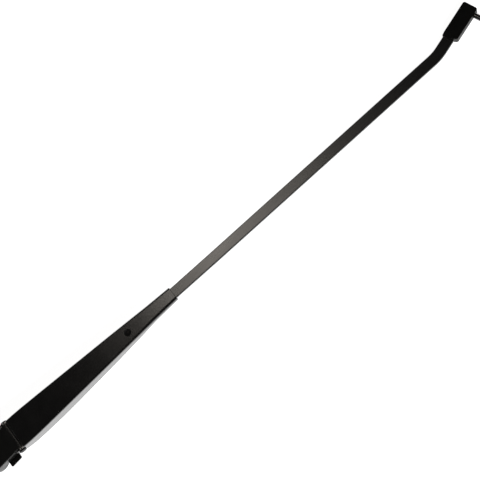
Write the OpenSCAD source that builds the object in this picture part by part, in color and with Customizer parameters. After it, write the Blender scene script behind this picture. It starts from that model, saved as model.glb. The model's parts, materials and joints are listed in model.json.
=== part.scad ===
// Windscreen wiper arm with a side blade pin.
// Millimetres. The origin is on the spindle axis at the mouth of the splined bush.
// +X runs to the blade end, +Z away from the glass, and the latch tab and blade pin are on the -Y side.

/* [Head] */
// Height of the head's top face above the bush mouth
head_top = 8.5; // [8:0.1:11]
// Half width of the head over the spindle
head_half = 14.3; // [13.5:0.1:17]
// Half width of the neck between the retainer's ears
neck_half = 12.6; // [11.5:0.1:12.9]
// Rounding along the head's top edge
head_round = 1.6; // [0.6:0.1:2.5]
// Radius of the hub below the latch
hub_r = 12.4; // [11.5:0.1:13.5]
// Depth of the hub below the bush mouth
hub_depth = 10.5; // [6:0.5:16]
// Radius of the spindle clearance in the hub
hub_bore_r = 7.2; // [6.6:0.1:8]

/* [Splined bush] */
// Radius of the splined bore
bore_r = 6; // [4.5:0.1:6.2]
// Outer radius of the bush
bush_r = 9; // [8:0.1:10]
// Length of the bush
bush_len = 6.8; // [5:0.1:7]
// Number of spline grooves
spline_count = 20; // [12:1:24]
// Width of a spline groove
spline_w = 0.36; // [0.2:0.02:0.4]
// Depth of a spline groove
spline_depth = 0.4; // [0.2:0.05:0.8]

/* [Latch] */
// Thickness of the latch plate
latch_t = 1.4; // [1:0.1:1.8]
// Travel of the latch
latch_stroke = 6; // [5:0.1:6.5]
// Radius of the latch's release hole
release_r = 6.4; // [6.3:0.05:6.8]
// Half width of the latch's holding slot
hold_half = 4.7; // [4:0.1:5.2]
// How far the finger tab stands from the arm's centre line
tab_reach = 17.7; // [15.5:0.1:19]
// Length of the finger tab along the arm
tab_len = 12.1; // [9:0.1:12.5]
// Shank radius of the latch rivet
latch_rivet_r = 1.5; // [1.2:0.1:1.8]

/* [Hinge] */
// Distance of the hinge pin from the spindle axis
hinge_x = 29.2; // [28.6:0.1:36]
// Depth of the hinge pin's centre below the head's top
pin_depth = 4.4; // [4.3:0.05:5]
// Radius of the hinge nose around the pin's centre
nose_r = 3.9; // [3.7:0.05:4.2]
// How far the head's top reaches past the hinge pin's centre
top_overhang = 1.2; // [0.4:0.1:1.2]
// Radius of the hinge pin
pin_r = 2.4; // [2:0.05:2.6]
// Radius of the hinge pin's riveted heads
pin_head_r = 3.3; // [3:0.1:4]
// How far a riveted head stands out from the ear
pin_head_h = 1.3; // [0.8:0.1:2.2]
// Wall of a hinge bush
hinge_bush_wall = 0.95; // [0.8:0.05:1.2]
// Length of a hinge bush inside the neck
hinge_bush_len = 7; // [5:0.1:7.5]
// Thickness of a hinge bush's flange
flange_t = 0.8; // [0.5:0.1:1]

/* [Spring gear] */
// Distance of the anchor pin from the hinge pin
anchor_reach = 8; // [7.8:0.1:9]
// Angle of the anchor pin below and behind the hinge pin
anchor_angle = 65; // [60:1:68]
// Radius of the anchor pin
anchor_r = 1.5; // [1.2:0.1:1.7]
// Width of the spring link
link_w = 6; // [5:0.1:7]
// Thickness of the spring link
link_t = 1.8; // [1.4:0.1:2]
// Distance from the anchor pin to the link's spring hole
link_len = 24; // [22:0.5:30]
// Radius of the spring wire
wire_r = 0.75; // [0.6:0.05:0.9]
// Mean radius of the spring's coils
coil_r = 3.2; // [2.8:0.1:3.5]
// Number of coils
coil_turns = 20; // [12:1:24]
// Distance of the front spring hole from the spindle axis
spring_hole_x = 126.5; // [110:0.5:135]
// Height of the front spring hole above the bush mouth
spring_hole_z = -0.9; // [-2:0.1:0]

/* [Retainer] */
// Thickness of the sheet
sheet_t = 1.5; // [1.2:0.05:1.6]
// Rear edge of the retainer's top, measured from the hinge pin
rear_edge = 3.6; // [3.6:0.05:5]
// Outer half width at the hinge
rear_half = 14.5; // [14.5:0.1:16]
// Outer half width at the front end
front_half = 6.5; // [6.5:0.05:8]
// Distance of the retainer's front end from the spindle axis
retainer_end = 215.5; // [205:0.5:240]
// Fall of the retainer and bar, in millimetres per millimetre
fall = 0.03; // [0.01:0.002:0.05]
// Outer radius of the long folds
fold_r = 1.7; // [1.65:0.05:3]
// Distance of the bar rivet from the spindle axis
rivet_x = 164.2; // [155:0.2:185]
// Shank radius of the bar rivet
rivet_r = 2; // [1.5:0.1:2.5]
// Radius of the bar rivet's dome
dome_r = 3.3; // [2.6:0.1:3.8]
// Height of the bar rivet's dome
dome_h = 1.3; // [0.8:0.1:1.8]

/* [Bar] */
// Width of the bar
bar_w = 10; // [8:0.1:10]
// Thickness of the bar
bar_t = 3; // [2.5:0.1:3.2]
// Where the bar takes its slight set to the side, measured from the spindle axis
set_x = 262; // [240:1:300]
// Angle of the slight set
set_angle = 0.33; // [0:0.01:1]
// Start of the edgewise bend, measured from the spindle axis
bend_x = 507.3; // [400:1:600]
// Angle of the edgewise bend
bend_angle = 15.7; // [0:0.1:25]
// Radius of the edgewise bend at the bar's centre line
bend_r = 42; // [20:1:80]
// Straight length between the bend and the tip block
tip_straight = 11; // [8:0.1:40]

/* [Tip] */
// Length of the tip block, with the lip at its far entrance corner
block_len = 33.9; // [28:0.1:40]
// Length of that lip past the block's near entrance corner
lip_len = 2.6; // [0.5:0.1:4]
// Width of the tip block
block_w = 13.3; // [12.5:0.1:16]
// Wall of the tip block above the bar
block_top_wall = 2.7; // [1.2:0.1:3]
// Wall of the tip block below the bar
block_wall = 1.5; // [1.2:0.1:2.5]
// How far the tip block sits to the pin side of the bar's centre
block_shift = 1; // [0:0.1:1.4]
// Radius of the blade pin
blade_pin_r = 2.38; // [2.2:0.01:2.5]
// Length of the blade pin outside the block
blade_pin_len = 14; // [12:0.5:20]
// Distance of the blade pin's centre from the block's end
blade_pin_inset = 5.3; // [4.6:0.1:7]

/* [Hidden] */
$fn = 48;

// Running clearance of a pin in its hole
running = 0.05;
// Gap between parts that slide past each other
gap = 0.15;
// Overcut that carries a cut past a face
over = 1;

hinge_z = head_top - pin_depth;
anchor_x = hinge_x - anchor_reach * cos(anchor_angle);
anchor_z = hinge_z - anchor_reach * sin(anchor_angle);
link_angle = atan2(spring_hole_z - anchor_z, spring_hole_x - anchor_x);
spring_len = norm([spring_hole_x - anchor_x, spring_hole_z - anchor_z]) - link_len;
ear_inner = rear_half - sheet_t;
bush_half = ear_inner - 0.2 - flange_t;
retainer_start = hinge_x + rear_edge;
fall_angle = atan(fall);
sheet_drop = sheet_t / cos(fall_angle);
latch_top = -gap;
latch_bottom = latch_top - latch_t;
slot_floor = latch_bottom - gap;
link_slot_half = link_w / 2 + 0.4;
ring_r = anchor_r + running + link_t + 0.15;
lug_half = 9;
lug_r = 3.3;
head_front = hinge_x + top_overhang;
head_tangent = atan2(neck_half, head_front) + acos(head_half / norm([head_front, neck_half]));
flange_r = nose_r - 0.1;
ear_r = 4.6;
ear_x = hinge_x - 1.3;
ear_z = hinge_z - 0.4;
latch_half = 8.4;
latch_rivet_x = 17.4;
latch_rivet_y = -10;
latch_rivet_hold = 4;
tab_x = 10.9;
washer_h = 0.6;
hook_hole_r = wire_r + 0.9;
blade_shank_r = blade_pin_r - 0.2;
blade_pin_z = (block_top_wall - bar_t - block_wall) / 2;
socket_end = 9;
tongue_back = 3.4;
tongue_w = 7;

function cyl_y_rotation() = [90, 0, 0];

// A cylinder along Y, centred on y = 0 at the given x and z
module cylinder_y(x, z, r, len) {
    translate([x, 0, z]) rotate(cyl_y_rotation()) cylinder(r = r, h = len, center = true);
}

// A flat XZ outline given a width along Y, centred on y = 0
module slab_y(width) {
    rotate(cyl_y_rotation()) linear_extrude(width, center = true) children();
}

// Moves to the underside of the sheet, where x runs down along the bar and z = 0 is the bar's top face
module bar_frame() {
    translate([retainer_start, 0, head_top - sheet_drop]) rotate([0, fall_angle, 0]) children();
}

function along_bar(x) = (x - retainer_start) / cos(fall_angle);

// Straight length between the slight set and the bend
front_len = along_bar(bend_x) - along_bar(set_x);

// Moves to the end of the edgewise bend, with x along the tip
module tip_frame() {
    bar_frame()
        translate([along_bar(set_x), 0, 0])
            rotate([0, 0, set_angle])
                translate([front_len + bend_r * sin(bend_angle), bend_r * (1 - cos(bend_angle)), 0])
                    rotate([0, 0, bend_angle])
                        children();
}

// Joins rings of equal point count into one closed solid
module loft(rings) {
    n = len(rings[0]);
    last = len(rings) - 1;
    points = [for (ring = rings) each ring];
    sides = [for (i = [0 : last - 1], j = [0 : n - 1])
        [i * n + j, i * n + (j + 1) % n, (i + 1) * n + (j + 1) % n, (i + 1) * n + j]];
    near_cap = [for (j = [n - 1 : -1 : 0]) j];
    far_cap = [for (j = [0 : n - 1]) last * n + j];
    polyhedron(points = points, faces = concat([near_cap], sides, [far_cap]), convexity = 6);
}

// Head

// Outline of the head seen from above: round over the spindle, narrowing to the neck
function head_outline(inset) =
    let (r = head_half - inset, steps = 24, front = hinge_x + top_overhang - inset / 2)
    concat(
        [for (i = [0 : steps])
            let (a = -head_tangent - i * (360 - 2 * head_tangent) / steps)
            r * [cos(a), sin(a)]],
        [[front, neck_half - inset], [front, -neck_half + inset]]
    );

function head_ring(inset, z) = [for (p = head_outline(inset)) [p[0], p[1], z]];

module head_cap() {
    steps = 5;
    rounding = [for (i = [0 : steps]) let (a = i * 90 / steps)
        head_ring(head_round * (1 - cos(a)), head_top - head_round * (1 - sin(a)))];
    loft(concat([head_ring(0, 0)], rounding));
}

module link_lugs() {
    slab_y(2 * lug_half) {
        translate([anchor_x, anchor_z]) circle(r = lug_r);
        polygon([
            [anchor_x - lug_r, anchor_z], [anchor_x + lug_r, anchor_z],
            [hinge_x + nose_r * 0.9, hinge_z], [anchor_x - lug_r, hinge_z]
        ]);
    }
}

module link_slot() {
    slot_top = hinge_z - pin_r - 0.9;
    reach = 12;
    slab_y(2 * link_slot_half)
        polygon([
            [anchor_x - ring_r - 0.4, anchor_z - reach],
            [anchor_x - ring_r - 0.4, slot_top],
            [hinge_x - pin_r, slot_top],
            [hinge_x, hinge_z],
            [hinge_x + reach * cos(55), hinge_z + reach * sin(55)],
            [hinge_x + 2 * reach, anchor_z - reach]
        ]);
}

module latch_slot() {
    translate([-8.7, -head_half - over, slot_floor]) cube([17.4, 2 * (head_half + over), -slot_floor]);
    translate([0, -head_half - over, slot_floor]) cube([hub_r + over, head_half + over - 6.8, -slot_floor]);
}

module mounting_head() {
    color([0.07, 0.07, 0.07])
    difference() {
        union() {
            head_cap();
            translate([0, 0, -hub_depth]) cylinder(r = hub_r, h = hub_depth, $fn = 72);
            cylinder_y(hinge_x, hinge_z, nose_r, 2 * bush_half);
            link_lugs();
        }
        for (side = [-1, 1])
            translate([ear_x - ear_r - gap, side > 0 ? bush_half : -bush_half - head_half, -over])
                cube([2 * (ear_r + gap), head_half, head_top + 2 * over]);
        cylinder(r = bush_r, h = bush_len);
        translate([0, 0, -hub_depth - over]) cylinder(r = hub_bore_r, h = hub_depth + 2 * over);
        latch_slot();
        link_slot();
        cylinder_y(hinge_x, hinge_z, pin_r + 0.3, 2 * head_half);
        for (side = [-1, 1])
            translate([hinge_x, side * (bush_half - hinge_bush_len / 2), hinge_z])
                rotate(cyl_y_rotation())
                    cylinder(r = pin_r + running + hinge_bush_wall, h = hinge_bush_len, center = true);
        cylinder_y(anchor_x, anchor_z, anchor_r, 2 * lug_half + 2 * over);
        translate([latch_rivet_x, latch_rivet_y, -over])
            cylinder(r = latch_rivet_r, h = latch_rivet_hold + over);
    }
}

module splined_bush() {
    color([0.62, 0.6, 0.55])
    difference() {
        cylinder(r = bush_r, h = bush_len);
        translate([0, 0, -over]) cylinder(r = bore_r, h = bush_len + 2 * over);
        for (i = [0 : spline_count - 1])
            rotate(i * 360 / spline_count)
                translate([bore_r - 0.2, -spline_w / 2, -over])
                    cube([0.2 + spline_depth, spline_w, bush_len + 2 * over]);
    }
}

// Latch

module latch_outline() {
    end_y = latch_stroke + release_r + 1.4;
    wing_x = tab_x + tab_len;
    lug_side = anchor_x - lug_r - 0.5;
    polygon([
        [-latch_half, -11], [-latch_half, end_y], [latch_half, end_y], [latch_half, -7.2],
        [tab_x + 2, -7.2], [tab_x + 2, -1.4], [lug_side, -1.4],
        [lug_side, -lug_half - 1], [wing_x, -lug_half - 2],
        [wing_x, -tab_reach + 0.8], [wing_x - 0.8, -tab_reach],
        [tab_x + 0.8, -tab_reach - 0.8], [tab_x, -tab_reach], [tab_x, -12.5], [latch_half, -11]
    ]);
}

module release_latch() {
    slot_r = latch_rivet_r + 0.1;
    color([0.06, 0.06, 0.06])
    translate([0, 0, latch_bottom])
    difference() {
        linear_extrude(latch_t) latch_outline();
        translate([0, latch_stroke, -over]) cylinder(r = release_r, h = latch_t + 2 * over);
        translate([0, 0, -over]) cylinder(r = hold_half, h = latch_t + 2 * over);
        translate([-hold_half, 0, -over]) cube([2 * hold_half, latch_stroke, latch_t + 2 * over]);
        for (y = [0, latch_stroke])
            translate([latch_rivet_x, latch_rivet_y + y, -over]) cylinder(r = slot_r, h = latch_t + 2 * over);
        translate([latch_rivet_x - slot_r, latch_rivet_y, -over])
            cube([2 * slot_r, latch_stroke, latch_t + 2 * over]);
    }
}

module latch_washer() {
    color([0.6, 0.6, 0.6])
    translate([latch_rivet_x, latch_rivet_y, latch_bottom - 0.05 - washer_h])
        rotate_extrude()
            polygon([
                [latch_rivet_r + 0.1, washer_h - 0.3], [latch_rivet_r + 0.1, washer_h],
                [latch_rivet_r + 1.9, 0.3], [latch_rivet_r + 1.9, 0]
            ]);
}

module latch_rivet() {
    head_z = latch_bottom - 0.1 - washer_h;
    color([0.5, 0.5, 0.5])
    translate([latch_rivet_x, latch_rivet_y, 0]) {
        translate([0, 0, head_z - 0.5]) cylinder(r = latch_rivet_r, h = latch_rivet_hold - head_z + 0.5);
        translate([0, 0, head_z - 1.2]) cylinder(r1 = 2.2, r2 = 2.9, h = 0.6);
        translate([0, 0, head_z - 0.6]) cylinder(r = 2.9, h = 0.6);
    }
}

// Hinge

module hinge_bush(side) {
    r = pin_r + running + hinge_bush_wall;
    color([0.05, 0.05, 0.05])
    translate([hinge_x, 0, hinge_z])
        rotate([side > 0 ? -90 : 90, 0, 0])
            difference() {
                union() {
                    translate([0, 0, bush_half - hinge_bush_len]) cylinder(r = r, h = hinge_bush_len);
                    translate([0, 0, bush_half]) cylinder(r = flange_r, h = flange_t);
                }
                translate([0, 0, bush_half - hinge_bush_len - over])
                    cylinder(r = pin_r + running, h = hinge_bush_len + flange_t + 2 * over);
            }
}

module hinge_bush_left() {
    hinge_bush(1);
}

module hinge_bush_right() {
    hinge_bush(-1);
}

module hinge_pin() {
    color([0.1, 0.1, 0.1]) {
        cylinder_y(hinge_x, hinge_z, pin_r, 2 * rear_half);
        for (side = [-1, 1])
            translate([hinge_x, side * rear_half, hinge_z])
                rotate([side > 0 ? -90 : 90, 0, 0]) {
                    cylinder(r = pin_head_r, h = pin_head_h * 0.6);
                    translate([0, 0, pin_head_h * 0.6])
                        cylinder(r1 = pin_head_r, r2 = pin_head_r - 0.5, h = pin_head_h * 0.4);
                }
    }
}

// Spring gear

module spring_anchor_pin() {
    color([0.55, 0.55, 0.55]) cylinder_y(anchor_x, anchor_z, anchor_r, 2 * lug_half);
}

module spring_link() {
    dip = -ring_r + link_t;
    color([0.35, 0.34, 0.32])
    translate([anchor_x, 0, anchor_z]) rotate([0, -link_angle, 0])
    difference() {
        slab_y(link_w) {
            circle(r = ring_r);
            polygon([
                [0, -ring_r], [10, -ring_r], [15.4, -link_t / 2],
                [link_len + 3, -link_t / 2], [link_len + 3, link_t / 2],
                [14.6, link_t / 2], [9.4, dip], [0, dip]
            ]);
        }
        cylinder_y(0, 0, anchor_r + running, link_w + 2 * over);
        translate([link_len, 0, -over - link_t]) cylinder(r = hook_hole_r, h = 2 * (link_t + over));
    }
}

// A loop of the spring's end, seen from the side, with its far point in the hole
function loop_points(centre_x, from, to, steps) =
    [for (i = [0 : steps]) let (a = from + (to - from) * i / steps)
        [[centre_x + coil_r * cos(a), 0, coil_r * sin(a)], [cos(a), 0, sin(a)]]];

function coil_points(from_x, to_x, turns, per_turn) =
    [for (i = [1 : turns * per_turn - 1]) let (f = i / (turns * per_turn), a = 90 + 360 * turns * f)
        [[from_x + (to_x - from_x) * f, coil_r * cos(a), coil_r * sin(a)], [0, cos(a), sin(a)]]];

function wire_ring(path, i, sides) =
    let (
        last = len(path) - 1,
        along = path[min(i + 1, last)][0] - path[max(i - 1, 0)][0],
        t = along / norm(along),
        raw = path[i][1] - t * (path[i][1] * t),
        n = raw / norm(raw),
        b = cross(n, t)
    )
    [for (j = [0 : sides - 1]) let (a = 360 * j / sides) path[i][0] + wire_r * (n * cos(a) + b * sin(a))];

module tension_spring() {
    body_start = 2 * coil_r + 1.2;
    body_end = spring_len - 2 * coil_r - 1.2;
    path = concat(
        loop_points(coil_r, 350, 90, 12),
        coil_points(body_start - coil_r + 0.6, body_end + coil_r - 0.6, coil_turns, 12),
        loop_points(spring_len - coil_r, 90, -170, 12)
    );
    color([0.3, 0.3, 0.3])
    translate([anchor_x, 0, anchor_z]) rotate([0, -link_angle, 0]) translate([link_len, 0, 0])
        loft([for (i = [0 : len(path) - 1]) wire_ring(path, i, 6)]);
}

// Retainer

function outer_half(x) = lookup(x, [
    [retainer_start, rear_half],
    [retainer_start + 8, rear_half],
    [retainer_start + 18, rear_half - 0.25],
    [retainer_start + 36, rear_half - 1.05],
    [190, front_half + 0.95],
    [retainer_end, front_half]
]);

function sheet_top(x) = head_top - fall * (x - retainer_start);

function wall_bottom(x) = lookup(x, [
    [retainer_start, -3.2],
    [retainer_start + 8, -5.4],
    [retainer_start + 24, -6.8],
    [retainer_start + 40, -7.8],
    [90, -7.8],
    [140, -5.9],
    [172, -3.6],
    [188, -1.4],
    [retainer_end, sheet_top(retainer_end) - sheet_drop - bar_t]
]);

// Section of the folded sheet at x, with its walls moved in by inset and its top down by drop
function channel_ring(x, inset, drop, r, extra) =
    let (w = outer_half(x) - inset, top = sheet_top(x) - drop, steps = 5)
    concat(
        [[x, -w, wall_bottom(x) - extra]],
        [for (i = [0 : steps]) let (a = 180 - 90 * i / steps) [x, -w + r + r * cos(a), top - r + r * sin(a)]],
        [for (i = [0 : steps]) let (a = 90 - 90 * i / steps) [x, w - r + r * cos(a), top - r + r * sin(a)]],
        [[x, w, wall_bottom(x) - extra]]
    );

module retainer() {
    steps = [0, 8, 18, 24, 30, 36, 40];
    far_steps = [90, 105, 122, 140, 156, 172, 188, 190, 202, retainer_end];
    xs = concat([for (s = steps) retainer_start + s], far_steps);
    inner_xs = concat([retainer_start - over], [for (i = [1 : len(xs) - 2]) xs[i]], [retainer_end + over]);
    color([0.07, 0.07, 0.07]) {
        difference() {
            loft([for (x = xs) channel_ring(x, 0, 0, fold_r, 0)]);
            loft([for (x = inner_xs) channel_ring(x, sheet_t, sheet_drop, fold_r - sheet_t, over)]);
            bar_frame() translate([along_bar(rivet_x), 0, -bar_t]) cylinder(r = rivet_r, h = 2 * bar_t);
        }
        ears();
    }
}

module ears() {
    for (side = [-1, 1])
        translate([0, side * (rear_half - sheet_t / 2), 0])
            difference() {
                slab_y(sheet_t) {
                    translate([ear_x, ear_z]) circle(r = ear_r);
                    polygon([
                        [ear_x, ear_z - ear_r], [retainer_start, wall_bottom(retainer_start)],
                        [retainer_start + 6, wall_bottom(retainer_start + 6)],
                        [retainer_start + 6, head_top - fold_r - 0.2],
                        [retainer_start, head_top - fold_r], [hinge_x, hinge_z + ear_r - 0.9]
                    ]);
                }
                cylinder_y(hinge_x, hinge_z, pin_r, 2 * sheet_t);
            }
}

module bar_rivet() {
    dome_sphere = (dome_r * dome_r + dome_h * dome_h) / (2 * dome_h);
    tail = 1.2;
    color([0.07, 0.07, 0.07])
    bar_frame() translate([along_bar(rivet_x), 0, 0]) {
        translate([0, 0, -bar_t - tail / 2]) cylinder(r = rivet_r, h = bar_t + sheet_t + tail / 2);
        translate([0, 0, -bar_t - tail]) cylinder(r = dome_r, h = tail);
        intersection() {
            translate([0, 0, sheet_t + dome_h - dome_sphere]) sphere(r = dome_sphere);
            translate([0, 0, sheet_t]) cylinder(r = dome_r + over, h = dome_h + over);
        }
    }
}

// Bar

// Points of an arc, with its first and last angle
function arc(centre, r, from, to, steps) =
    [for (i = [0 : steps]) let (a = from + (to - from) * i / steps) centre + r * [cos(a), sin(a)]];

module bar_plan() {
    start = along_bar(spring_hole_x - tongue_back);
    half = bar_w / 2;
    set_point = [along_bar(set_x), 0];
    set_side = half * [-sin(set_angle / 2), cos(set_angle / 2)];
    total = set_angle + bend_angle;
    heading = [cos(set_angle), sin(set_angle)];
    centre = set_point + front_len * heading + bend_r * [-heading[1], heading[0]];
    along = [cos(total), sin(total)];
    end = centre + bend_r * [sin(total), -cos(total)] + (tip_straight + block_len - socket_end) * along;
    side = half * [-sin(total), cos(total)];
    polygon(concat(
        [[start, half], [start, -half], set_point - set_side],
        arc(centre, bend_r + half, -90 + set_angle, -90 + total, 16),
        [end - side, end + side],
        arc(centre, bend_r - half, -90 + total, -90 + set_angle, 16),
        [set_point + set_side]
    ));
}

module wiper_bar() {
    hole = along_bar(spring_hole_x);
    sink = (head_top - sheet_drop - fall * (spring_hole_x - retainer_start)) - spring_hole_z - bar_t / 2;
    far = along_bar(bend_x) + 200;
    color([0.12, 0.12, 0.11])
    bar_frame()
    difference() {
        intersection() {
            translate([0, 0, -bar_t - sink]) linear_extrude(bar_t + sink) bar_plan();
            slab_y(400)
                polygon([
                    [hole - tongue_back, -sink], [hole + 6, -sink], [hole + 12, 0], [far, 0],
                    [far, -bar_t], [hole + 13, -bar_t], [hole + 7, -bar_t - sink],
                    [hole - tongue_back, -bar_t - sink]
                ]);
        }
        translate([hole, 0, -bar_t - sink - over]) cylinder(r = hook_hole_r, h = bar_t + sink + 2 * over);
        translate([along_bar(rivet_x), 0, -bar_t - over]) cylinder(r = rivet_r, h = bar_t + 2 * over);
        for (side = [-1, 1])
            translate([hole - tongue_back - over, (side * (tongue_w + bar_w) - bar_w) / 2, -bar_t - sink - over])
                cube([tongue_back + over + 5, bar_w, bar_t + sink + 2 * over]);
    }
}

// Tip

module block_plan() {
    half = block_w / 2;
    taper_x = 3.6;
    taper_y = 0.4;
    corner = 1.6;
    entry = 0.8;
    polygon(concat(
        [[0, half - taper_y], [0, 0], [lip_len, -half + entry], [lip_len + entry, -half]],
        arc([block_len - corner, -half + corner], corner, -90, 0, 6),
        arc([block_len - corner, half - corner], corner, 0, 90, 6),
        [[taper_x, half]]
    ));
}

module blade_block() {
    color([0.06, 0.06, 0.06])
    tip_frame() translate([tip_straight, -block_shift, 0])
        difference() {
            translate([0, 0, -bar_t - block_wall])
                linear_extrude(bar_t + block_wall + block_top_wall)
                    block_plan();
            translate([-over, block_shift - bar_w / 2, -bar_t])
                cube([block_len - socket_end + over, bar_w, bar_t]);
            translate([block_len - blade_pin_inset, 0, blade_pin_z])
                rotate(cyl_y_rotation())
                    cylinder(r = blade_shank_r, h = block_w + 2 * over, center = true);
        }
}

module blade_pin() {
    half = block_w / 2;
    groove_at = blade_pin_len - 4;
    nose = 1;
    groove_w = 1.4;
    groove_r = blade_pin_r - 0.6;
    color([0.08, 0.08, 0.08])
    tip_frame()
        translate([tip_straight + block_len - blade_pin_inset, -block_shift + half, blade_pin_z])
            rotate(cyl_y_rotation()) {
                cylinder(r = blade_shank_r, h = block_w);
                translate([0, 0, block_w]) cylinder(r = blade_pin_r, h = groove_at);
                translate([0, 0, block_w + groove_at]) cylinder(r = groove_r, h = groove_w);
                translate([0, 0, block_w + groove_at + groove_w])
                    cylinder(r = blade_shank_r, h = blade_pin_len - groove_at - groove_w - nose);
                translate([0, 0, block_w + blade_pin_len - nose])
                    cylinder(r1 = blade_shank_r, r2 = blade_shank_r - nose * 0.7, h = nose);
            }
}

mounting_head();
splined_bush();
release_latch();
latch_washer();
latch_rivet();
hinge_bush_left();
hinge_bush_right();
hinge_pin();
spring_anchor_pin();
spring_link();
tension_spring();
retainer();
bar_rivet();
wiper_bar();
blade_block();
blade_pin();
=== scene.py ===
import json
import math

import bmesh
import bpy
from mathutils import Matrix, Vector


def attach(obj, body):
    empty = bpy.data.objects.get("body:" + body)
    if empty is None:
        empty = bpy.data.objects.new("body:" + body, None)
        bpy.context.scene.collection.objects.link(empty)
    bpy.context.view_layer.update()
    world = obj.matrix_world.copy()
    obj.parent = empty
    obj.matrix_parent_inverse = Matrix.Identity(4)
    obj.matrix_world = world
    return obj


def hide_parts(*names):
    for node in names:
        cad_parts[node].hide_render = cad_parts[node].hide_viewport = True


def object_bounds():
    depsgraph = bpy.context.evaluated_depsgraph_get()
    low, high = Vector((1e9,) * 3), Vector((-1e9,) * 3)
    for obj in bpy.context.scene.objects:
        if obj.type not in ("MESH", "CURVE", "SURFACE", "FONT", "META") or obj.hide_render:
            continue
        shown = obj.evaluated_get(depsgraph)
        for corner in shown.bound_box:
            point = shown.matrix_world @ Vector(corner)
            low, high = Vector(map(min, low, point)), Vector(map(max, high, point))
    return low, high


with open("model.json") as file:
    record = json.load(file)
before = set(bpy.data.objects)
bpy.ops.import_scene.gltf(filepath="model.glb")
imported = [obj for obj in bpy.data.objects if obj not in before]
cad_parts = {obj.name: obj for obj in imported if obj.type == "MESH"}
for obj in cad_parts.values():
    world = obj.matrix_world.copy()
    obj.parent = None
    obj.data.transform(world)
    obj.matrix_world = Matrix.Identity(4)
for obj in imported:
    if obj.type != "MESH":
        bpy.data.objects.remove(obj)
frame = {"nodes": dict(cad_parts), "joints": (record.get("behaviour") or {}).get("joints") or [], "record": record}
cad_low, cad_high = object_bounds()
nodes = frame["nodes"]
MM = 0.001
BODY = {node: body for body, riders in frame["record"]["behaviour"]["bodies"].items() for node in riders}
SLOT = {row["node"]: row["material_slot"] for row in frame["record"]["subparts"]}


def joint_place(name):
    """A point on a joint's axis, in millimetres."""
    joint = next(row for row in frame["joints"] if row["name"] == name)
    return [distance / MM for distance in joint["pos_m"]]


# Materials

BEVEL_SAMPLES = 6


class Tree:
    """The node tree of a material or world, with short ways to add and join nodes."""

    def __init__(self, owner):
        owner.use_nodes = True
        self.owner = owner
        self.nodes = owner.node_tree.nodes
        self.links = owner.node_tree.links
        self.nodes.clear()

    def add(self, kind, inputs=None, **settings):
        """A new node. Its inputs go by name, or by number where several share a name."""
        made = self.nodes.new("ShaderNode" + kind)
        for key, value in settings.items():
            setattr(made, key, value)
        for key, value in (inputs or {}).items():
            self.put(made.inputs[key], value)
        return made

    def put(self, socket, value):
        """Joins a node or an output to the socket, or sets the socket to a plain value."""
        if isinstance(value, bpy.types.Node):
            value = value.outputs[0]
        if isinstance(value, bpy.types.NodeSocket):
            self.links.new(value, socket)
        else:
            socket.default_value = value

    def math(self, operation, a, b, clamp=False):
        return self.add("Math", {0: a, 1: b}, operation=operation, use_clamp=clamp)

    def times(self, a, b, clamp=False):
        return self.math("MULTIPLY", a, b, clamp)

    def plus(self, a, b, clamp=False):
        return self.math("ADD", a, b, clamp)

    def span(self, value, low, high, to_low=0.0, to_high=1.0):
        """Carries low to to_low and high to to_high, evenly between them and no further."""
        ends = {"From Min": low, "From Max": high, "To Min": to_low, "To Max": to_high}
        return self.add("MapRange", {"Value": value, **ends}, clamp=True)

    def mix(self, share, a, b):
        """Colour a where share is 0, and colour b where it is 1."""
        made = self.add("Mix", {0: share, 6: a, 7: b}, data_type="RGBA", clamp_factor=True)
        return made.outputs[2]

    def place(self, stretch=(1, 1, 1)):
        """Object coordinates in millimetres, times stretch along each axis."""
        coords = self.add("TexCoord").outputs["Object"]
        return self.add("Mapping", {"Vector": coords, "Scale": [factor / MM for factor in stretch]})

    def noise(self, scale, detail, rough, stretch=(1, 1, 1)):
        inputs = {"Vector": self.place(stretch), "Scale": scale, "Detail": detail, "Roughness": rough}
        return self.add("TexNoise", inputs, noise_dimensions="3D").outputs[0]

    def edges(self, radius):
        """Near 1 along the outer and inner edges, 0 on the open faces."""
        soft = self.add("Bevel", {"Radius": radius}, samples=BEVEL_SAMPLES)
        face = self.add("NewGeometry").outputs["Normal"]
        match = self.add("VectorMath", {0: soft, 1: face}, operation="DOT_PRODUCT")
        return self.span(match.outputs["Value"], 0.995, 0.90)

    def bump(self, height, strength, distance):
        return self.add("Bump", {"Height": height, "Strength": strength, "Distance": distance})

    def finish(self, shader, output="OutputMaterial"):
        """Sends the shader to the surface, and gives back the material or world."""
        self.add(output, {"Surface": shader})
        return self.owner


def opaque(colour, factor=1.0):
    """A colour as a socket takes it, made darker or lighter by factor."""
    return (*[min(1.0, factor * channel) for channel in colour], 1.0)


COAT_IOR = 1.65
DUST = (0.20, 0.19, 0.17)
PRIMER = (0.17, 0.155, 0.14)
STAIN = (0.10, 0.085, 0.07)
GREASE = (0.16, 0.14, 0.11)


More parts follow.
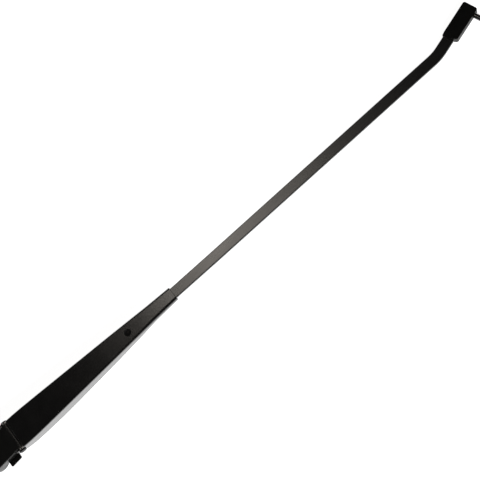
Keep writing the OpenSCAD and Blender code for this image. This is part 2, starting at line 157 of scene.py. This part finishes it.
def paint(name, colour, rough, peel, coat=0.0, streak=(1, 1, 1), ior=1.6):
    """Baked enamel: orange peel, uneven gloss, fine dust and a little primer along the edges."""
    t = Tree(bpy.data.materials.new(name))
    cloud = t.noise(scale=0.06, detail=4.0, rough=0.6, stretch=streak)
    dust = t.span(t.noise(scale=5.5, detail=2.0, rough=0.6), 0.68, 0.80)
    flakes = t.span(t.noise(scale=1.1, detail=4.0, rough=0.65), 0.52, 0.66)
    wear = t.times(t.times(t.edges(radius=0.5 * MM), flakes), 0.35, clamp=True)

    tone = t.mix(t.span(cloud, 0.35, 0.65), opaque(colour, 0.82), opaque(colour, 1.2))
    tone = t.mix(t.times(dust, 0.10), tone, opaque(DUST))
    tone = t.mix(wear, tone, opaque(PRIMER))

    gloss = t.span(cloud, 0.3, 0.7, rough - 0.03, rough + 0.05)
    gloss = t.plus(gloss, t.times(dust, 0.10))
    gloss = t.plus(gloss, t.times(wear, 0.15))

    orange_peel = t.noise(scale=0.55, detail=2.0, rough=0.5)
    grain = t.noise(scale=1.6, detail=2.0, rough=0.5)
    height = t.plus(orange_peel, t.times(grain, 0.35))
    return t.finish(t.add("BsdfPrincipled", {
        "Base Color": tone,
        "Roughness": gloss,
        "IOR": ior,
        "Coat Weight": coat,
        "Coat IOR": COAT_IOR,
        "Coat Roughness": rough,
        "Normal": t.bump(height, strength=peel, distance=0.4 * MM),
    }))


def metal(name, colour, rough, streak=(1, 1, 1), stained=0.3, pits=0.0):
    """Bare or plated steel: drawn or turned marks, stains, brighter edges and, with pits, fine pores darkened with
    painted shade.
    """
    t = Tree(bpy.data.materials.new(name))
    cloud = t.noise(scale=0.25, detail=4.0, rough=0.6)
    marks = t.noise(scale=2.2, detail=3.0, rough=0.6, stretch=streak)
    spots = t.span(t.noise(scale=0.8, detail=4.0, rough=0.7), 0.56, 0.72)
    edge = t.edges(radius=0.3 * MM)

    tone = t.mix(t.span(marks, 0.3, 0.7), opaque(colour, 0.86), opaque(colour, 1.08))
    tone = t.mix(t.times(spots, stained), tone, opaque(STAIN))
    tone = t.mix(t.times(edge, 0.45), tone, opaque(colour, 1.45))

    gloss = t.span(cloud, 0.3, 0.7, rough - 0.05, rough + 0.09)
    gloss = t.plus(gloss, t.times(spots, 0.18))
    gloss = t.math("SUBTRACT", gloss, t.times(edge, 0.08))

    height = marks
    if pits:
        pore = t.add("TexVoronoi", {"Vector": t.place(), "Scale": 2.4}, feature="F1")
        hollow = t.span(pore.outputs["Distance"], 0.05, 0.3)
        height = t.plus(height, t.times(hollow, pits))
        # Painted shade: the colour is darkened in the pores in place of the shade inside the pits
        tone = t.mix(hollow, opaque(colour, 0.35), tone)
    return t.finish(t.add("BsdfPrincipled", {
        "Base Color": tone,
        "Roughness": gloss,
        "Metallic": 1.0,
        "Normal": t.bump(height, strength=0.25, distance=0.2 * MM),
    }))


def plastic(name, colour, rough):
    """Moulded bearing plastic, slightly mottled and greasy near its edges."""
    t = Tree(bpy.data.materials.new(name))
    cloud = t.noise(scale=0.4, detail=4.0, rough=0.6)
    grain = t.noise(scale=3.0, detail=3.0, rough=0.6)
    tone = t.mix(t.span(cloud, 0.35, 0.65), opaque(colour, 0.86), opaque(colour))
    tone = t.mix(t.times(t.edges(radius=0.4 * MM), 0.35), tone, opaque(GREASE))
    return t.finish(t.add("BsdfPrincipled", {
        "Base Color": tone,
        "Roughness": t.span(cloud, 0.3, 0.7, rough - 0.06, rough + 0.1),
        "Normal": t.bump(grain, strength=0.2, distance=0.2 * MM),
    }))


ENAMEL = (0.0040, 0.0039, 0.0038)
BAR_ENAMEL = (0.0050, 0.0048, 0.0046)
CAST_ENAMEL = (0.0050, 0.0050, 0.0047)
PIN_ENAMEL = (0.0042, 0.0041, 0.0040)
BLOCK_ENAMEL = (0.0040, 0.0040, 0.0038)
ZINC = (0.50, 0.49, 0.465)
WIRE = (0.17, 0.165, 0.16)
SINTERED = (0.36, 0.35, 0.33)
BEARING = (0.028, 0.027, 0.026)

# Marks are long along an axis whose coordinate is shrunk
LONG_X = (0.2, 1, 1)
LONG_Y = (1, 0.1, 1)
LONG_Z = (1, 1, 0.2)

SLOT_FINISH = {
    "black_paint": paint("black_enamel", ENAMEL, rough=0.22, peel=0.08, coat=1.0),
    "bar_paint": paint("bar_enamel", BAR_ENAMEL, rough=0.27, peel=0.06, coat=1.0, streak=LONG_X),
    "plated_steel": metal("zinc_plate", ZINC, rough=0.30, streak=LONG_Y),
    "spring_steel": metal("spring_wire", WIRE, rough=0.34, stained=0.4),
    "sintered_steel": metal("sintered_steel", SINTERED, rough=0.42, streak=LONG_Z, pits=0.8),
    "bush_plastic": plastic("bearing_plastic", BEARING, rough=0.42),
}

# The casting, the rivets' heads and the tip block take the same paint with less gloss than the sheet
OWN_FINISH = {
    "mounting_head": paint("cast_enamel", CAST_ENAMEL, rough=0.34, peel=0.22, coat=0.25, ior=1.42),
    "hinge_pin": paint("pin_enamel", PIN_ENAMEL, rough=0.46, peel=0.10, ior=1.35),
    "bar_rivet": paint("rivet_enamel", ENAMEL, rough=0.44, peel=0.10, ior=1.38),
    "blade_block": paint("block_enamel", BLOCK_ENAMEL, rough=0.42, peel=0.14, ior=1.28),
}


def finish_of(node):
    return OWN_FINISH.get(node, SLOT_FINISH[SLOT[node]])


# Making pieces

SHARP_ANGLE = math.radians(34)
MODIFIER_ANGLE = math.radians(40)
ROUNDED_ANGLE = math.radians(30)
FLAT_ANGLE = math.radians(0.3)
# Points nearer than this are one point
MERGE = 0.002 * MM
EDGE_STEPS = 2


def mesh_of(bm, name):
    """The finished bmesh as a mesh, smooth except at its sharp edges."""
    mesh = bpy.data.meshes.new(name)
    bm.to_mesh(mesh)
    bm.free()
    for face in mesh.polygons:
        face.use_smooth = True
    mesh.set_sharp_from_angle(angle=SHARP_ANGLE)
    return mesh


def put_piece(name, mesh, node, bevel=0.0):
    """The mesh becomes the piece that stands for a CAD node, on that node's body."""
    piece = bpy.data.objects.new(name, mesh)
    bpy.context.scene.collection.objects.link(piece)
    mesh.materials.clear()
    mesh.materials.append(finish_of(node))
    if bevel:
        soft = piece.modifiers.new("soft_edges", "BEVEL")
        soft.width = bevel
        soft.segments = EDGE_STEPS
        soft.limit_method = "ANGLE"
        soft.angle_limit = MODIFIER_ANGLE
    even = piece.modifiers.new("even_normals", "WEIGHTED_NORMAL")
    even.keep_sharp = True
    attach(piece, BODY[node])
    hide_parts(node)


def soft_copy(node, width):
    """A CAD node's shape with its edges rounded by width, still open for more work."""
    bm = bmesh.new()
    bm.from_mesh(nodes[node].data)
    bmesh.ops.remove_doubles(bm, verts=bm.verts, dist=MERGE)
    bmesh.ops.dissolve_limit(bm, angle_limit=FLAT_ANGLE, verts=bm.verts, edges=bm.edges)
    sharp = [edge for edge in bm.edges if edge.is_manifold and edge.calc_face_angle(0) > ROUNDED_ANGLE]
    bmesh.ops.bevel(
        bm, geom=sharp, offset=width, segments=EDGE_STEPS, profile=0.5, affect="EDGES", clamp_overlap=True)
    bmesh.ops.triangulate(bm, faces=[face for face in bm.faces if len(face.verts) > 4])
    return bm


def join_rows(bm, a, b, closed=True):
    """Four-sided faces between two rows of points, also from the last point to the first if closed."""
    count = len(a)
    for j in range(count if closed else count - 1):
        n = (j + 1) % count
        bm.faces.new((a[j], a[n], b[n], b[j]))


def points_row(bm, points):
    return [bm.verts.new(point) for point in points]


# Pieces that only need soft edges, with the edges' widths in millimetres

SOFT_EDGES = {
    "mounting_head": 0.35,
    "release_latch": 0.25,
    "latch_rivet": 0.2,
    "hinge_pin": 0.25,
    "spring_anchor_pin": 0.15,
    "spring_link": 0.3,
    "bar_rivet": 0.12,
    "blade_block": 0.3,
    "blade_pin": 0.15,
}
for node_name, edge_width in SOFT_EDGES.items():
    soft_name = "soft_" + node_name
    put_piece(soft_name, mesh_of(soft_copy(node_name, edge_width * MM), soft_name), node_name)


# Retainer. All lengths from here on are in millimetres, and x in the tables starts at the sheet's rear edge

HINGE_X, _, HINGE_Z = joint_place("arm_lift")
SHEET_START = HINGE_X + 3.6
SHEET_END = 215.5
SHEET_LEN = SHEET_END - SHEET_START
SHEET_TOP = 8.5
SHEET_T = 1.5
SHEET_EDGE = 0.18
BAR_T = 3.0
FALL = 0.03
FALL_ANGLE = math.atan(FALL)
SHEET_DROP = SHEET_T / math.cos(FALL_ANGLE)
FOLD_R = 1.7
FRONT_FOLD_R = 2.6
FOLD_STEPS = 8
FRONT_BOTTOM = SHEET_TOP - FALL * SHEET_LEN - SHEET_DROP - BAR_T
HALF_WIDTHS = ((0, 14.5), (8, 14.5), (18, 14.25), (36, 13.45), (157.2, 7.45), (SHEET_LEN, 6.5))
WALL_BOTTOMS = (
    (0, -3.2), (8, -5.4), (24, -6.8), (40, -7.8), (57.2, -7.8), (107.2, -5.9), (139.2, -3.6), (155.2, -1.4),
    (SHEET_LEN, FRONT_BOTTOM),
)
FOLD_RADII = ((0, FOLD_R), (118, FOLD_R), (157, FRONT_FOLD_R), (SHEET_LEN, FRONT_FOLD_R))
# Sections stand STATION_STEP apart, and at each place in the tables with no other within STATION_GAP
STATION_STEP = 4.0
STATION_GAP = 1.2

# An ear is round from EAR_FROM to EAR_TO degrees, and runs EAR_LAP into the wall
EAR_X = HINGE_X - 1.3
EAR_Z = HINGE_Z - 0.4
EAR_R = 4.6
EAR_FROM = 53.6
EAR_TO = 270.0
EAR_STEPS = 30
EAR_LAP = 0.8
EAR_LAP_TOP = 6.5
EAR_SINK = 0.01


def along(table, x):
    """Straight-line value from a table of places and values."""
    for (x0, v0), (x1, v1) in zip(table, table[1:]):
        if x <= x1:
            return v0 + (v1 - v0) * (x - x0) / (x1 - x0)
    return table[-1][1]


def channel_points(x, inset, drop):
    """The channel's section at x: the outer skin, or the inner one with inset and drop."""
    half = along(HALF_WIDTHS, x) - inset
    radius = along(FOLD_RADII, x) - inset
    top = SHEET_TOP - FALL * x - drop
    turns = [math.pi / 2 * k / FOLD_STEPS for k in range(FOLD_STEPS + 1)]
    fold = [(half - radius + radius * math.sin(a), top - radius + radius * math.cos(a)) for a in turns]
    far_side = fold + [(half, along(WALL_BOTTOMS, x))]
    points = [(-y, z) for y, z in reversed(far_side)] + far_side
    return [Vector((SHEET_START + x, y, z)) * MM for y, z in points]


def add_channel(bm):
    """The folded sheet with smooth long folds, tapered in width and height."""
    knots = {x for x, _ in HALF_WIDTHS + WALL_BOTTOMS}
    steps = [STATION_STEP * k for k in range(int(SHEET_LEN / STATION_STEP) + 1)]
    stations = sorted(knots | {x for x in steps if all(abs(x - knot) > STATION_GAP for knot in knots)})
    outer = [points_row(bm, channel_points(x, 0, 0)) for x in stations]
    inner = [points_row(bm, channel_points(x, SHEET_T, SHEET_DROP)) for x in stations]
    for k in range(len(stations) - 1):
        for skin in (outer, inner):
            join_rows(bm, skin[k], skin[k + 1], closed=False)
        for j in (0, -1):
            bm.faces.new((outer[k][j], outer[k + 1][j], inner[k + 1][j], inner[k][j]))
    for k in (0, -1):
        join_rows(bm, outer[k], inner[k], closed=False)


def add_ears(bm):
    """The two ears around the hinge pin, each lapping a little into the wall that it belongs to."""
    turns = [math.radians(EAR_FROM + (EAR_TO - EAR_FROM) * k / EAR_STEPS) for k in range(EAR_STEPS + 1)]
    outline = [(EAR_X + EAR_R * math.cos(a), EAR_Z + EAR_R * math.sin(a)) for a in turns]
    outline += [
        (SHEET_START, along(WALL_BOTTOMS, 0)),
        (SHEET_START + EAR_LAP, along(WALL_BOTTOMS, EAR_LAP)),
        (SHEET_START + EAR_LAP, EAR_LAP_TOP),
        (SHEET_START, SHEET_TOP - FOLD_R),
    ]
    outside = along(HALF_WIDTHS, 0) - EAR_SINK
    inside = along(HALF_WIDTHS, 0) - SHEET_T + EAR_SINK
    for side in (-1, 1):
        inner = points_row(bm, [Vector((x, side * inside, z)) * MM for x, z in outline])
        outer = points_row(bm, [Vector((x, side * outside, z)) * MM for x, z in outline])
        bm.faces.new(inner)
        bm.faces.new(outer)
        join_rows(bm, inner, outer)


def retainer_mesh():
    bm = bmesh.new()
    add_channel(bm)
    add_ears(bm)
    bmesh.ops.recalc_face_normals(bm, faces=bm.faces)
    return mesh_of(bm, "folded_sheet")


# Bar. The drawn shape takes over from the CAD shape of the tongue at TONGUE_CUT

TONGUE_CUT = 144.0
TONGUE_EDGE = 0.3
OVERLAP = 1.0
SET_X = 262.0
SET_TURN = math.radians(0.33)
BEND_X = 507.3
BEND_TURN = math.radians(15.7)
BEND_R = 42.0
BEND_STEPS = 24
# Straight length past the bend, most of it inside the tip block
PAST_BEND = 35.9
BAR_HALF = 5.0
BAR_EDGE = 0.85
CORNER_STEPS = 6


def bar_stops():
    """Places and headings along the bar's middle, in its own plane, from inside the tongue to the end."""
    slope = math.cos(FALL_ANGLE)
    x = (TONGUE_CUT - OVERLAP - SHEET_START) / slope
    y = 0.0
    heading = 0.0
    stops = [(x, y, heading)]

    def go(length, turn=0.0):
        """Ahead by length, with half of the turn before it and half after."""
        nonlocal x, y, heading
        heading += turn / 2
        x += length * math.cos(heading)
        y += length * math.sin(heading)
        heading += turn / 2
        stops.append((x, y, heading))

    go((SET_X - TONGUE_CUT + OVERLAP) / slope)
    heading = SET_TURN
    go((BEND_X - SET_X) / slope)
    step_turn = BEND_TURN / BEND_STEPS
    for _ in range(BEND_STEPS):
        go(2 * BEND_R * math.sin(step_turn / 2), step_turn)
    go(PAST_BEND)
    return stops


def bar_section():
    """Points round the bar's section: places across it, and heights measured from its top face."""
    points = []
    for side, level, start in ((1, 1, 0), (1, -1, 90), (-1, -1, 180), (-1, 1, 270)):
        for k in range(CORNER_STEPS + 1):
            a = math.radians(start + 90 / CORNER_STEPS * k)
            v = side * (BAR_HALF - BAR_EDGE) + BAR_EDGE * math.sin(a)
            z = level * (BAR_T / 2 - BAR_EDGE) + BAR_EDGE * math.cos(a) - BAR_T / 2
            points.append((v, z))
    return points


def bar_to_frame(x, y, z):
    """From the bar's own plane, which falls towards the front, to the frame, in metres."""
    return Vector((
        SHEET_START + x * math.cos(FALL_ANGLE) + z * math.sin(FALL_ANGLE),
        y,
        SHEET_TOP - SHEET_DROP - x * math.sin(FALL_ANGLE) + z * math.cos(FALL_ANGLE),
    )) * MM


def bar_mesh():
    """Drawn flat bar with round edges, joined to the tongue's own shape at the rear."""
    bm = soft_copy("wiper_bar", TONGUE_EDGE * MM)
    cut = bmesh.ops.bisect_plane(
        bm, geom=bm.verts[:] + bm.edges[:] + bm.faces[:], plane_co=Vector((TONGUE_CUT, 0, 0)) * MM,
        plane_no=Vector((1, 0, 0)), clear_outer=True)
    rim = [part for part in cut["geom_cut"] if isinstance(part, bmesh.types.BMEdge)]
    bmesh.ops.edgenet_fill(bm, edges=rim)
    rows = []
    for x, y, heading in bar_stops():
        across = Vector((-math.sin(heading), math.cos(heading), 0))
        row = []
        for v, z in bar_section():
            place = Vector((x, y, 0)) + v * across
            row.append(bar_to_frame(place.x, place.y, z))
        rows.append(points_row(bm, row))
    for a, b in zip(rows, rows[1:]):
        join_rows(bm, a, b)
    bm.faces.new(rows[0])
    bm.faces.new(rows[-1])
    bmesh.ops.recalc_face_normals(bm, faces=bm.faces)
    return mesh_of(bm, "drawn_bar")


# Spring

ANCHOR = Vector(joint_place("link_swing"))
SPRING_HOLE = Vector(joint_place("spring_swing"))
LINK_LEN = 24.0
WIRE_R = 0.75
# Keeps the round wire inside the skin of the CAD spring's wire
WIRE_FIT = 0.99
WIRE_SIDES = 12
COIL_R = 3.2
COIL_TURNS = 20
# The coils start this far past the centre of each loop
COIL_START = 1.8
PER_TURN = 28
# Each hook loop covers this many degrees
LOOP_SWEEP = 260


def spring_path(length):
    """Points along the wire with their directions outwards: rear loop, coils, front loop."""
    path = []

    def loop(centre, start, stop):
        for i in range(PER_TURN + 1):
            a = math.radians(start + (stop - start) * i / PER_TURN)
            outwards = Vector((math.cos(a), 0, math.sin(a)))
            path.append((Vector((centre + COIL_R * math.cos(a), 0, COIL_R * math.sin(a))), outwards))

    loop(COIL_R, 90 + LOOP_SWEEP, 90)
    low = COIL_R + COIL_START
    high = length - COIL_R - COIL_START
    steps = COIL_TURNS * PER_TURN
    for i in range(1, steps):
        a = math.radians(90) + 2 * math.pi * COIL_TURNS * i / steps
        outwards = Vector((0, math.cos(a), math.sin(a)))
        path.append((Vector((low + (high - low) * i / steps, 0, 0)) + COIL_R * outwards, outwards))
    loop(length - COIL_R, 90, 90 - LOOP_SWEEP)
    return path


def spring_mesh():
    """Round wire along the same path as in the part's source, from the link's hole to the bar's."""
    run = SPRING_HOLE - ANCHOR
    ahead = run.normalized()
    upward = Vector((-ahead.z, 0, ahead.x))
    path = spring_path(run.length - LINK_LEN)
    bm = bmesh.new()
    rows = []
    for i, (point, outwards) in enumerate(path):
        before = path[max(i - 1, 0)][0]
        after = path[min(i + 1, len(path) - 1)][0]
        tangent = (after - before).normalized()
        normal = (outwards - tangent * outwards.dot(tangent)).normalized()
        third = normal.cross(tangent)
        row = []
        for j in range(WIRE_SIDES):
            a = 2 * math.pi * j / WIRE_SIDES
            p = point + WIRE_FIT * WIRE_R * (normal * math.cos(a) + third * math.sin(a))
            row.append((ANCHOR + (LINK_LEN + p.x) * ahead + p.z * upward + Vector((0, p.y, 0))) * MM)
        rows.append(points_row(bm, row))
    for a, b in zip(rows, rows[1:]):
        join_rows(bm, a, b)
    bm.faces.new(list(reversed(rows[0])))
    bm.faces.new(rows[-1])
    bmesh.ops.recalc_face_normals(bm, faces=bm.faces)
    return mesh_of(bm, "spring_wire")


# Splined bush

BORE_R = 6.0
BUSH_R = 9.0
BUSH_LEN = 6.8
BUSH_CHAMFER = 0.3
TEETH = 60
PER_TOOTH = 4
TOOTH_DEPTH = 0.35
LEAD_IN = 0.5
LEAD_IN_DEPTH = 0.15
LEAD_IN_WIDER = 0.45


def bush_ring(bm, radius, z, depth=0.0):
    """A ring of points, with half of each tooth's points further out by depth."""
    count = TEETH * PER_TOOTH
    points = []
    for j in range(count):
        r = radius + (depth if j % PER_TOOTH >= PER_TOOTH / 2 else 0.0)
        a = 2 * math.pi * j / count
        points.append(Vector((r * math.cos(a), r * math.sin(a), z)) * MM)
    return points_row(bm, points)


def bush_mesh():
    """The pressed-in bush with its fine serrations and a lead-in chamfer at the mouth."""
    bm = bmesh.new()
    rings = [
        bush_ring(bm, BUSH_R - BUSH_CHAMFER, 0.0),
        bush_ring(bm, BUSH_R, BUSH_CHAMFER),
        bush_ring(bm, BUSH_R, BUSH_LEN),
        bush_ring(bm, BORE_R, BUSH_LEN, TOOTH_DEPTH),
        bush_ring(bm, BORE_R, LEAD_IN, TOOTH_DEPTH),
        bush_ring(bm, BORE_R + LEAD_IN_WIDER, 0.0, LEAD_IN_DEPTH),
    ]
    for a, b in zip(rings, rings[1:] + rings[:1]):
        join_rows(bm, a, b)
    bmesh.ops.recalc_face_normals(bm, faces=bm.faces)
    return mesh_of(bm, "bush_serrations")


put_piece("folded_sheet", retainer_mesh(), "retainer", bevel=SHEET_EDGE * MM)
put_piece("drawn_bar", bar_mesh(), "wiper_bar")
put_piece("round_spring_wire", spring_mesh(), "tension_spring")
put_piece("serrated_bush", bush_mesh(), "splined_bush")

for node_name, piece in nodes.items():
    if not piece.hide_render:
        piece.data.materials.clear()
        piece.data.materials.append(finish_of(node_name))


# Floor and light. Lengths are in metres from here on

WHITE = (1.0, 1.0, 1.0)
PAPER = (0.80, 0.80, 0.80)
PAPER_GLOW = 0.92
FLOOR_GAP = 0.2 * MM
FLOOR_HALF = 4.0
MIDDLE_X = 0.28
HORIZON_LIGHT = 0.32
OVERHEAD_LIGHT = 0.0096


def floor_material():
    """White paper: shows white to the camera and in reflections, and keeps the shadow."""
    t = Tree(bpy.data.materials.new("white_paper"))
    ray = t.add("LightPath").outputs
    seen = t.plus(ray["Is Camera Ray"], ray["Is Glossy Ray"])
    seen = t.plus(seen, ray["Is Transmission Ray"], clamp=True)
    paper = t.add("BsdfDiffuse", {"Color": opaque(PAPER)})
    glow = t.add("Emission", {"Strength": t.times(seen, PAPER_GLOW)})
    return t.finish(t.add("AddShader", {0: paper, 1: glow}))


def add_floor():
    low_z = cad_low.z - FLOOR_GAP
    corners = [
        (MIDDLE_X + side * FLOOR_HALF, end * FLOOR_HALF, low_z)
        for side, end in ((-1, -1), (1, -1), (1, 1), (-1, 1))
    ]
    mesh = bpy.data.meshes.new("floor")
    mesh.from_pydata(corners, [], [(0, 1, 2, 3)])
    mesh.materials.append(floor_material())
    floor = bpy.data.objects.new("floor", mesh)
    bpy.context.scene.collection.objects.link(floor)


def studio_world():
    """White to the camera. As light it is pale near the horizon and dark overhead."""
    t = Tree(bpy.data.worlds.new("studio"))
    direction = t.add("TexCoord").outputs["Generated"]
    height = t.add("SeparateXYZ", {0: direction}).outputs["Z"]
    light = t.span(height, 0.05, 0.45, HORIZON_LIGHT, OVERHEAD_LIGHT)
    seen = t.add("LightPath").outputs["Is Camera Ray"]
    back = t.add("Background", {"Color": opaque(WHITE), "Strength": t.math("MAXIMUM", light, seen)})
    return t.finish(back, output="OutputWorld")


def lamp(name, place, aim, size, power, colour=WHITE):
    data = bpy.data.lights.new(name, "AREA")
    data.color = colour
    data.shape = "RECTANGLE"
    data.size, data.size_y = size
    data.energy = power
    made = bpy.data.objects.new(name, data)
    bpy.context.scene.collection.objects.link(made)
    made.location = place
    made.rotation_euler = (Vector(aim) - Vector(place)).to_track_quat("-Z", "Y").to_euler()
    return made


add_floor()
bpy.context.scene.world = studio_world()

# The two key lamps are what the bar's top mirrors to the camera. The fill only lights matt surfaces
WARM = (1.0, 0.93, 0.85)
lamp("key", (0.21, 0.30, 0.92), aim=(0.25, 0, 0), size=(0.15, 0.36), power=0.285, colour=WARM)
lamp("key_front", (0.275, 0.306, 0.92), aim=(0.30, 0, 0), size=(0.35, 0.30), power=0.394, colour=WARM)
fill = lamp("fill", (0.30, -1.5, 1.1), aim=(MIDDLE_X, 0, 0), size=(1.2, 0.8), power=26.0)
fill.visible_glossy = False


# Camera, from a perspective fit to the photograph

FOCAL_PX = 1090.0
IMAGE_PX = 480.0
SENSOR = 36.0
ROLL = math.radians(42.2)
AIM = Vector((288.0, -4.06, -1.5)) * MM
DISTANCE = 0.921
TOWARDS_CAMERA = Vector((0.085, -0.31, 0.947)).normalized()


def add_camera():
    """Looks at AIM, with the arm's long axis turned by ROLL from the picture's lower edge."""
    arm = Vector((1, 0, 0))
    level = (arm - arm.dot(TOWARDS_CAMERA) * TOWARDS_CAMERA).normalized()
    upright = TOWARDS_CAMERA.cross(level)
    right = math.cos(ROLL) * level - math.sin(ROLL) * upright
    up = math.sin(ROLL) * level + math.cos(ROLL) * upright
    data = bpy.data.cameras.new("camera")
    data.sensor_width = SENSOR
    data.lens = FOCAL_PX / IMAGE_PX * SENSOR
    camera = bpy.data.objects.new("camera", data)
    bpy.context.scene.collection.objects.link(camera)
    turned = Matrix((right, up, TOWARDS_CAMERA)).transposed().to_4x4()
    camera.matrix_world = Matrix.Translation(AIM + TOWARDS_CAMERA * DISTANCE) @ turned
    bpy.context.scene.camera = camera


add_camera()
bpy.context.scene.view_settings.view_transform = "Standard"
